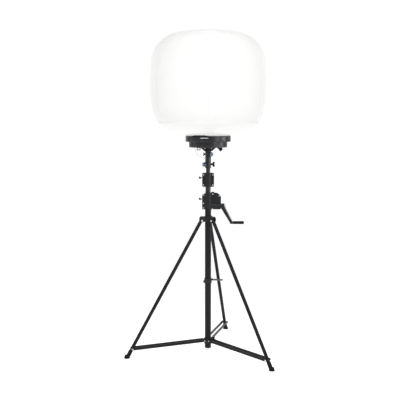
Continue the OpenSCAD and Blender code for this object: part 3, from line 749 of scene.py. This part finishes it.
class Envelope:
    """The envelope's outer surface: rows of points from the neck up, and one at the pole."""

    def __init__(self):
        self.line, self.radius = meridian()
        widest = max(range(ROWS), key=lambda i: self.line[i].x)
        self.top_seam = self.row_at(range(widest, ROWS), TOP_SEAM)
        self.bottom_seam = self.row_at(range(widest), BOTTOM_SEAM)
        self.seam_columns = [round(COLUMNS * k / PANELS) for k in range(PANELS)]
        self.points = [self.start_point(i, k) for i in range(ROWS - 1) for k in range(COLUMNS)]
        self.points.append(Vector((0, 0, self.line[-1].y)))

    def row_at(self, rows, share):
        """The row whose radius is nearest to that share of the envelope's."""
        return min(rows, key=lambda i: abs(self.line[i].x - share * self.radius))

    def start_point(self, i, k):
        """A point of the fabric before it is blown up, with gathers beside the seams."""
        angle = 2 * math.pi * k / COLUMNS - math.pi / 2
        r, z = self.line[i]
        gather = (pucker(i - self.top_seam, angle, 34, 0.0011)
                  + pucker(i - self.bottom_seam, angle, 30, 0.0013)
                  + pucker((i - 3) * 0.8, angle, 26, 0.0016 if i > 1 else 0))
        r -= max(0.0, gather) + abs(gather) * 0.4
        return Vector((r * math.cos(angle), r * math.sin(angle), z))

    def index(self, i, k):
        """The number of the point in row i and column k."""
        return i * COLUMNS + k % COLUMNS if i < ROWS - 1 else len(self.points) - 1

    def build(self):
        faces = [(self.index(i, k), self.index(i, k + 1),
                  self.index(i + 1, k + 1), self.index(i + 1, k))
                 for i in range(ROWS - 2) for k in range(COLUMNS)]
        faces += [(self.index(ROWS - 2, k), self.index(ROWS - 2, k + 1), self.index(ROWS - 1, 0))
                  for k in range(COLUMNS)]
        self.piece = add_object("inflated_envelope",
                                smooth_mesh("inflated_envelope", self.points, faces))

    def weights(self, name, rows, columns=()):
        """A vertex group of whole rows, and of columns between the two ring seams."""
        group = self.piece.vertex_groups.new(name=name)
        group.add([self.index(i, k) for i in rows for k in range(COLUMNS)], 1.0, "REPLACE")
        group.add([self.index(i, k) for k in columns
                   for i in range(self.bottom_seam, self.top_seam + 1)], 1.0, "REPLACE")

    def inflate(self):
        """Blows the fabric up a little: the seams hold it back, and it swells between them."""
        self.weights("held", range(3))
        self.weights("sewn", [self.top_seam, self.bottom_seam], self.seam_columns)
        cloth = self.piece.modifiers.new("air_pressure", "CLOTH")
        for key, value in CLOTH.items():
            setattr(cloth.settings, key, value)
        cloth.settings.effector_weights.gravity = 0.0
        cloth.collision_settings.use_collision = False
        for number in range(1, SIM_FRAMES + 1):
            SCENE.frame_set(number)
        shown = self.piece.evaluated_get(bpy.context.evaluated_depsgraph_get())
        moved = [v.co.copy() for v in shown.data.vertices]
        self.piece.modifiers.remove(cloth)
        SCENE.frame_set(1)
        for i, (start, end) in enumerate(zip(self.points, moved)):
            step = end - start
            if step.length > MOVE_CAP:
                step *= MOVE_CAP / step.length
            self.points[i] = start + step

    def crease(self):
        """Presses a few soft folds into the skirt between the neck and the lower seam."""
        shifts = []
        for i in range(4, self.bottom_seam - 2):
            for k in range(COLUMNS):
                angle = 2 * math.pi * k / COLUMNS
                depth = sum(size * max(0.0, math.cos(angle * turns + phase))
                            * math.exp(-((i - row - 0.8 * math.sin(2 * angle + phase)) / 0.9) ** 2)
                            for row, turns, phase, size in FOLDS)
                shifts.append((self.index(i, k), self.out(i, k) * -depth))
        for index, shift in shifts:
            self.points[index] = self.points[index] + shift
        self.piece.data.vertices.foreach_set("co", [c for p in self.points for c in p])
        self.piece.data.update()

    def finish(self):
        shell = self.piece.modifiers.new("fabric_thickness", "SOLIDIFY")
        shell.thickness = FABRIC
        shell.offset = -1
        self.piece.data.materials.append(MATERIALS["envelope_fabric"])
        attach(self.piece, "head")
        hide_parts("balloon_envelope")

    def out(self, i, k):
        """The outward direction of the fabric at a point."""
        up = self.points[self.index(i + 1, k)] - self.points[self.index(max(i - 1, 0), k)]
        along = self.points[self.index(i, k + 1)] - self.points[self.index(i, k - 1)]
        return along.cross(up).normalized()

    def ring_line(self, i):
        """The points of a row and their outward directions."""
        return ([self.points[self.index(i, k)] for k in range(COLUMNS)],
                [self.out(i, k) for k in range(COLUMNS)])

    def panel_line(self, k):
        """The points of a seam between two panels and their outward directions."""
        rows = range(self.bottom_seam, self.top_seam + 1)
        return [self.points[self.index(i, k)] for i in rows], [self.out(i, k) for i in rows]


STITCH_PITCH = 0.010
STITCH_LENGTH = 0.0066
# Width and thickness of each tape, and how far its stitches are from its middle
RING_TAPE = (0.022, 0.0009)
RING_STITCHES = 0.0075
PANEL_TAPE = (0.014, 0.0008)
PANEL_STITCHES = 0.0045


def add_stitches(shape, path, outs, offset, lift, closed):
    """A row of stitches beside a line on the fabric."""
    loop = path + [path[0]] if closed else path
    normals = outs + [outs[0]] if closed else outs
    carry = 0.0
    for p, q, n in zip(loop, loop[1:], normals):
        along = (q - p).normalized()
        side = along.cross(n).normalized()
        length = (q - p).length
        while carry < length:
            shape.stitch(p + along * carry + side * offset + n * lift, along, n,
                         STITCH_LENGTH, 0.0005)
            carry += STITCH_PITCH
        carry -= length


def make_envelope():
    """The envelope with its piping, seam tapes and stitches; returns the four pieces."""
    envelope = Envelope()
    envelope.build()
    envelope.inflate()
    envelope.crease()
    envelope.finish()
    rings = Shape()
    tapes = Shape()
    thread = Shape()
    for row in (envelope.top_seam, envelope.bottom_seam):
        path, outs = envelope.ring_line(row)
        tapes.sweep(path, outs, tape_profile(*RING_TAPE), closed=True)
        rings.sweep([p + n * 0.0016 for p, n in zip(path, outs)], outs, round_profile(0.0024),
                    closed=True)
        for offset in (-RING_STITCHES, RING_STITCHES):
            add_stitches(thread, path, outs, offset, RING_TAPE[1], True)
    for column in envelope.seam_columns:
        path, outs = envelope.panel_line(column)
        tapes.sweep(path, outs, tape_profile(*PANEL_TAPE))
        for offset in (-PANEL_STITCHES, PANEL_STITCHES):
            add_stitches(thread, path, outs, offset, PANEL_TAPE[1], False)
    path, outs = envelope.ring_line(1)
    tapes.sweep([p + UP * 0.002 for p in path], outs, tape_profile(0.010, 0.0010), closed=True)
    rings.sweep([p + UP * 0.008 + n * 0.0008 for p, n in zip(path, outs)], outs,
                round_profile(0.0026), closed=True)
    return [envelope.piece,
            rings.make("envelope_piping", "webbing", "head"),
            tapes.make("envelope_seam_tapes", "webbing", "head"),
            thread.make("envelope_stitches", "webbing", "head", 180)]


shield(side_lights, make_envelope())


# ---------- lamp base ----------

# How high the carrying strap arches, and the steps along it
STRAP_ARCH = 0.012
STRAP_STEPS = 32


def arc(radius, start, end, count, level):
    """Points and outward directions round the middle line between two azimuths in degrees."""
    outs = [outward(start + (end - start) * k / (count - 1)) for k in range(count)]
    return [out * radius + UP * level for out in outs], outs


def make_base_details():
    """A carrying strap that arches over a small lit window, edge beads and screws."""
    low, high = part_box("base_flange")
    radius = high.x
    rim = high.z
    strap = Shape()
    path, outs = arc(radius + 0.0015, -136, -88, STRAP_STEPS + 1, rim - 0.010)
    path = [p + UP * STRAP_ARCH * math.sin(math.pi * k / STRAP_STEPS) ** 0.6
            for k, p in enumerate(path)]
    strap.sweep(path, outs, [(-0.005, -0.0018), (-0.0055, 0.001), (-0.004, 0.0026), (0.004, 0.0026),
                             (0.0055, 0.001), (0.005, -0.0018)])
    strap.make("flange_strap", "black_plastic", "head")
    studs = Shape()
    for azimuth in (-134, -90):
        out = outward(azimuth)
        dome_nut(studs, out * (radius + 0.003) + UP * (rim - 0.010), out, 0.0042, 0.005)
    studs.make("strap_studs", "black_plastic", "head")
    window = Shape()
    path, outs = arc(radius + 0.0004, -110, -90.5, 15, rim - 0.0165)
    window.sweep(path, outs, [(-0.0042, -0.001), (-0.0036, 0.0008), (0, 0.0013), (0.0036, 0.0008),
                              (0.0042, -0.001)])
    window.make("flange_window", "status_lens", "head")
    surround = Shape()
    path, outs = arc(radius + 0.0004, -111.5, -89, 17, rim - 0.0165)
    for side in (-1, 1):
        surround.sweep([p + UP * side * 0.0052 for p in path], outs, round_profile(0.0012, 6))
    surround.make("flange_window_frame", "black_plastic", "head")
    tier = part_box("base_housing")
    beads = Shape()
    beads.hoops(tier[1].x + 0.0006, round_profile(0.0017), low.z - 0.0018)
    beads.hoops(radius - 0.0002, round_profile(0.0014), rim - 0.0045, low.z + 0.0045)
    beads.make("base_beads", "base_black", "head")
    screws = Shape()
    middle = (tier[0].z + low.z) / 2
    for k in range(8):
        out = outward(22.5 + 45 * k)
        cap_screw(screws, out * (tier[1].x - 0.0002) + UP * middle, out, 0.0034, 0.0022)
    for k in range(10):
        at = outward(18 + 36 * k) * (tier[1].x + 0.014) + UP * (low.z + 0.0002)
        cap_screw(screws, at, -UP, 0.0034, 0.0024)
    screws.make("base_screws", "black_plastic", "head")


def make_grille_details():
    """A wire guard over the air intake, and its four screws."""
    low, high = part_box("intake_grille")
    middle = Vector(((low.x + high.x) / 2, (low.y + high.y) / 2, low.z))
    radius = (high.x - low.x) / 2
    wires = Shape()
    for r in (0.008, 0.016, 0.024, 0.032, 0.040):
        wires.ring(middle - UP * 0.0008, UP, r, round_profile(0.0009, 6), 48)
    for k in range(3):
        across = outward(30 + 60 * k)
        path = [middle - UP * 0.0014 + across * t for t in (-radius * 0.9, 0.0, radius * 0.9)]
        wires.sweep(path, [-UP] * 3, round_profile(0.0011, 6))
    wires.make("grille_guard", "steel", "head")
    screws = Shape()
    for k in range(4):
        at = middle + outward(45 + 90 * k) * (radius - 0.0035)
        cap_screw(screws, at, -UP, 0.0026, 0.0018)
    screws.make("grille_screws", "steel", "head")


def make_inlet_details():
    """Ribs round the power inlet's mouth, and three pins inside."""
    mount = MOUNTS["power_inlet_socket"]
    axis = Vector(mount["axis"])
    at = Vector(mount["pos_m"])
    bore = mount["dims"]["r_mm"] * MM
    mouth = face_at("power_inlet", at, axis, bore + 0.0015)
    collar = Shape()
    collar.ring(mouth - axis * 0.003, axis, bore + 0.0032, round_profile(0.0014))
    collar.ring(mouth - axis * 0.007, axis, bore + 0.0032, round_profile(0.0010))
    collar.ridges(mouth, axis, bore + 0.0034, 12, (-0.001, -0.006, -0.011),
                  round_profile(0.0010, 6))
    collar.make("inlet_ribs", "black_plastic", "head")
    pins = Shape()
    seat = mouth - axis * mount["dims"]["length_mm"] * MM
    u, v, _ = basis(axis)
    for p, q in circle_points(3, bore * 0.5, 0.5):
        pins.lathe([(0.0012, -0.0005), (0.0012, 0.0065), (0.0007, 0.0075)],
                   seat + u * p + v * q, axis, 12)
    pins.make("inlet_pins", "steel", "head")


def make_hub_details():
    """Nuts under the base, and bands round the socket that the mast goes into."""
    tier_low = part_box("base_housing")[0].z
    bolts = Shape()
    for azimuth in (0, 180, 240, 300):
        dome_nut(bolts, outward(azimuth) * 0.052 + UP * (tier_low - 0.006), -UP, 0.0050, 0.006)
    bolts.make("hub_bolts", "steel", "head")
    bands = Shape()
    low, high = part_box("head_socket")
    bands.hoops(high.x + 0.0002, tape_profile(0.005, 0.0012),
                low.z + 0.003, low.z + 0.056, high.z - 0.048, high.z - 0.003)
    bands.hoops(0.0282, round_profile(0.0016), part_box("hub_flange")[0].z + 0.0025)
    bands.make("socket_bands", "base_black", "head")


make_base_details()
make_grille_details()
make_inlet_details()
make_hub_details()


# ---------- knobs ----------

def make_round_knob_insert(body):
    """A blued domed nut on a dark plate in the face of a lobed knob, and two rings around it."""
    at, axis = joint_line(body + "_turn")
    middle = Vector((0, 0, at.z))
    face = face_at(body, middle, axis, 0.011)
    recess = face_at(body, middle, axis)
    insert = Shape()
    dome_nut(insert, recess + axis * 0.0012, axis, 0.0056, 0.0060)
    insert.make(body + "_insert", "blued_steel", body)
    trim = Shape()
    plate = [(0.0082, 0), (0.0082, 0.0012), (0.0076, 0.0018), (0.0048, 0.0019)]
    trim.lathe(plate, recess, axis, 32)
    trim.ring(face - axis * 0.0004, axis, 0.0096, round_profile(0.0009))
    trim.ring(face - axis * 0.0136, axis, 0.0150, round_profile(0.0010))
    trim.make(body + "_trim", "knob_blue", body)


def make_stud(body, radius=0.0032, height=0.004):
    """The end of the clamp screw where it shows through a knob."""
    at, axis = joint_line(body + "_turn")
    middle = Vector((0, 0, at.z)) if abs(axis.z) < 0.5 else at
    face = face_at(body, middle, axis)
    stud = Shape()
    stud.lathe([(radius * 1.25, -0.001), (radius * 1.25, 0.0008), (radius, 0.0012),
                (radius, height * 0.7), (radius * 0.7, height)], face, axis, 24)
    stud.make(body + "_stud", "steel", body)


def make_ball_collar(body):
    """A knurled ferrule behind a ball knob."""
    at, axis = joint_line(body + "_turn")
    end = (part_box(body)[0].x * RIGHT).dot(axis)
    middle = Vector((0, 0, at.z)) + axis * (end - 0.017)
    ferrule = Shape()
    ferrule.lathe([(0.0040, -0.004), (0.0056, -0.0034), (0.0056, 0.0004), (0.0044, 0.001)],
                  middle, axis, 28)
    ferrule.ridges(middle, axis, 0.0056, 14, (-0.0032, -0.0014, 0.0002), round_profile(0.0005, 5))
    ferrule.make(body + "_ferrule", "knob_plastic", body)


for name in ("head_knob_right", "socket_knob_left"):
    make_round_knob_insert(name)
for name in ("head_knob_left", "lower_collar_knob"):
    make_stud(name)
for name in ("collar_knob", "winch_lock_knob"):
    make_ball_collar(name)


# ---------- mast, riser collar and winch ----------

def make_socket_heads(node, body):
    """Socket-head faces on a group of bolts whose heads point to the front."""
    heads = Shape()
    for low, high in lumps(node):
        at = Vector(((low.x + high.x) / 2, low.y + 0.0005, (low.z + high.z) / 2))
        cap_screw(heads, at, FRONT, 0.0052, 0.0022)
    heads.make(node + "_heads", "steel", body)


def make_collar_details():
    """Grip ribs and two lips on the riser collar, and a wiper round the riser above it."""
    low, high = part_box("riser_collar_front")
    ribs = Shape()
    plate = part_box("riser_collar_bolts")[0].y + 0.004
    for k in range(7):
        z = low.z + 0.030 + k * 0.0088
        path = [Vector((-x, plate + 0.0004, z)) for x in (0.0285, 0.036, 0.0435)]
        ribs.sweep(path, [FRONT] * 3, rib_profile(0.0022, 0.0016, 0.0016))
    ribs.make("riser_collar_ribs", "cast_black", "lower_riser")
    lips = Shape()
    for level in (low.z + 0.0035, high.z - 0.0035):
        path, outs = arc(0.0275, 200, 340, 25, level)
        lips.sweep(path, outs, tape_profile(0.006, 0.0016))
    lips.make("riser_collar_lips", "cast_black", "lower_riser")
    wiper = Shape()
    wiper.hoops(0.0190, round_profile(0.0016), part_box("upper_guide_bush")[1].z + 0.0012)
    wiper.make("riser_wiper", "rubber_black", "lower_riser")


def make_winch_details():
    """Ribs and a plug on the gear's dome, rings on the worm's housing, and two seals."""
    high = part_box("winch_housing_front")[1]
    gear, axis = joint_line("drive_gear_turn")
    dome = face_at("winch_housing_front", gear + Vector((0, 0, 0.009)), FRONT)
    middle = Vector((gear.x, dome.y, gear.z))
    ribs = Shape()
    for k in range(9):
        a = math.radians(-80 + 40 * k)
        out = Vector((math.cos(a), 0, math.sin(a)))
        path = [middle + out * r for r in (0.0145, 0.025, 0.034)]
        ribs.sweep(path, [FRONT] * 3, rib_profile(0.0017, 0.0009, 0.0018))
    square = [(-0.001, -0.0012), (0.0018, -0.0012), (0.0018, 0.0012), (-0.001, 0.0012)]
    ribs.ring(middle, FRONT, 0.0355, square, 60)
    ribs.lathe([(0.0135, -0.001), (0.0135, 0.0022), (0.0120, 0.0034)], middle, FRONT)
    ribs.make("winch_dome_ribs", "cast_black", "stand")
    plug = Shape()
    dome_nut(plug, middle + FRONT * 0.0034, FRONT, 0.0062, 0.005)
    plug.make("winch_oil_plug", "powder_black", "stand")
    worm, axis = joint_line("crank_turn")
    rings = Shape()
    for x in (high.x - 0.0015, high.x - 0.012, 0.040):
        rings.ring((x, 0, worm.z), axis, 0.0240, tape_profile(0.004, 0.0013))
    rings.make("worm_housing_rings", "cast_black", "stand")
    seal = Shape()
    seal.ring((high.x + 0.0006, 0, worm.z), axis, 0.0098, round_profile(0.0016), 40)
    # open where the rack passes
    path, outs = arc(0.0232, 28, 332, 49, high.z - 0.004)
    seal.sweep(path, outs, round_profile(0.0012))
    seal.make("winch_seals", "rubber_black", "stand")


def make_crank_details():
    """The crank's nut, a raised rib on both faces of its arm whose light grey is a painted highlight, and rings on
    its grip.
    """
    worm, axis = joint_line("crank_turn")
    end = face_at("worm_shaft", worm, axis)
    nut = Shape()
    dome_nut(nut, end - axis * 0.0006, axis, 0.0075, 0.010)
    nut.make("crank_nut", "steel", "crank")
    grip, axis = joint_line("crank_grip_spin")
    low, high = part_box("crank_grip")
    top = Vector((worm.x + 0.0115, 0, worm.z - 0.006))
    foot = Vector((low.x - 0.0055, 0, grip.z + 0.008))
    # The ribs are light grey on the black arm: a painted highlight along it.
    edges = Shape()
    for side in (FRONT, -FRONT):
        face = face_at("crank_arm", (top + foot) / 2, side, 0.002).y
        path = [Vector((p.x, face, p.z)) for p in (top, top.lerp(foot, 0.5), foot)]
        edges.sweep(path, [side] * 3, rib_profile(0.0022, 0.0016, 0.0012, 0.0008))
    edges.make("crank_arm_highlight_ribs", "electronics_grey", "crank")
    grooves = Shape()
    for k in range(9):
        x = low.x + 0.018 + k * 0.0062
        grooves.ring((x, 0, grip.z), axis, 0.0118, round_profile(0.0011), 48)
    grooves.ring((high.x - 0.006, 0, grip.z), axis, 0.0119, round_profile(0.0013), 48)
    grooves.make("crank_grip_rings", "black_plastic", "crank_grip")
    screw = Shape()
    cap_screw(screw, (high.x - 0.0002, 0, grip.z), axis, 0.0045, 0.0022)
    screw.make("crank_grip_screw", "steel", "crank_grip")


make_socket_heads("riser_collar_bolts", "lower_riser")
make_socket_heads("winch_bolts", "stand")
make_collar_details()
make_winch_details()
make_crank_details()


# ---------- tripod ----------

# Radius and height of the screw heads and nuts on the pivots, and how deep they sit in
COLUMN_HEAD = (0.0062, 0.0022)
SLIDER_HEAD = (0.0050, 0.0020)
LINK_NUT = (0.0058, 0.0058)
SUNK = 0.0004


def add_pivot_heads(shape, node, joint, size):
    """A socket-head face on each end of a joint's pivot."""
    at, axis = joint_line(joint)
    for way in (axis, -axis):
        cap_screw(shape, face_at(node, at, way) - way * SUNK, way, *size)


def make_link_nuts(link):
    """A domed nut on each side of a link's far pivot."""
    axis = joint_line(link + "_fold")[1]
    nuts = Shape()
    for way in (axis, -axis):
        dome_nut(nuts, far_face(link, way) - way * SUNK, way, *LINK_NUT)
    nuts.make(link + "_nuts", "steel", link)


def make_pivot_details():
    column = Shape()
    slider = Shape()
    for side in SIDES:
        add_pivot_heads(column, "leg_pivot_bolts", f"leg_{side}_fold", COLUMN_HEAD)
        add_pivot_heads(slider, "lower_collar", f"brace_{side}_fold", SLIDER_HEAD)
        make_link_nuts(f"brace_{side}")
    column.make("leg_pivot_heads", "steel", "stand")
    slider.make("lower_collar_heads", "steel", "lower_collar")
    stay = Shape()
    add_pivot_heads(stay, "stay_collar", "stay_link_fold", SLIDER_HEAD)
    stay.make("stay_collar_heads", "steel", "stay_collar")
    make_link_nuts("stay_link")


def make_leg_details():
    """Beads on each rubber foot and a band near the top of each leg."""
    for side in SIDES:
        pivot = joint_line(f"leg_{side}_fold")[0]
        sole = Vector(MOUNTS[f"foot_{side}_sole"]["pos_m"])
        down = (sole - pivot).normalized()
        beads = Shape()
        for distance in (0.036, 0.044, 0.052):
            beads.ring(sole - down * distance, down, 0.0161, round_profile(0.0011), 48)
        beads.ring(sole + UP * 0.0026, UP, 0.0224, round_profile(0.0014), 56)
        beads.ring(sole + UP * 0.0225, UP, 0.0172, round_profile(0.0012), 56)
        beads.make(f"foot_{side}_beads", "rubber_black", f"leg_{side}")
        bands = Shape()
        bands.ring(pivot + down * 0.036, down, 0.0141, tape_profile(0.007, 0.0009), 48)
        bands.make(f"leg_{side}_band", "powder_black", f"leg_{side}")


def make_collar_bands():
    """Raised lips on the fixed and sliding collars."""
    lips = Shape()
    lips.hoops(0.0322, round_profile(0.0014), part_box("leg_collar")[1].z - 0.002)
    lips.make("leg_collar_lips", "cast_black", "stand")
    for slider in ("lower_collar", "stay_collar"):
        low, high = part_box(slider)
        lips = Shape()
        lips.hoops(0.0298, round_profile(0.0012), low.z + 0.003, high.z - 0.0025)
        lips.make(slider + "_lips", "cast_black", slider)


make_pivot_details()
make_leg_details()
make_collar_bands()


# ---------- floor ----------

FLOOR_REACH = 14.0
FLOOR_GLOW = 0.57
FLOOR_BEND = 3.0
FLOOR_RISE = 9.0
BEND_STEPS = 12


def make_floor():
    """A pale floor that curves up into a backdrop."""
    rows = [(-FLOOR_REACH, 0.0)]
    for i in range(BEND_STEPS + 1):
        a = math.radians(90) * i / BEND_STEPS
        rows.append((FLOOR_REACH - FLOOR_BEND + FLOOR_BEND * math.sin(a),
                     FLOOR_BEND - FLOOR_BEND * math.cos(a)))
    rows.append((FLOOR_REACH, FLOOR_RISE))
    mesh = smooth_mesh("floor", [(x, y, z) for y, z in rows for x in (-FLOOR_REACH, FLOOR_REACH)],
                       [(2 * i, 2 * i + 1, 2 * i + 3, 2 * i + 2) for i in range(len(rows) - 1)])
    tree, principled = shader("studio_floor", (0.8, 0.8, 0.8), 0.8, specular=0.1)
    give(principled, Base_Color=patchy(grain(tree, 2.5, 2), (0.79, 0.79, 0.79),
                                       (0.81, 0.81, 0.81)))
    emit(principled, (1, 1, 1), FLOOR_GLOW)
    mesh.materials.append(MATERIALS["studio_floor"])
    add_object("floor", mesh)


make_floor()
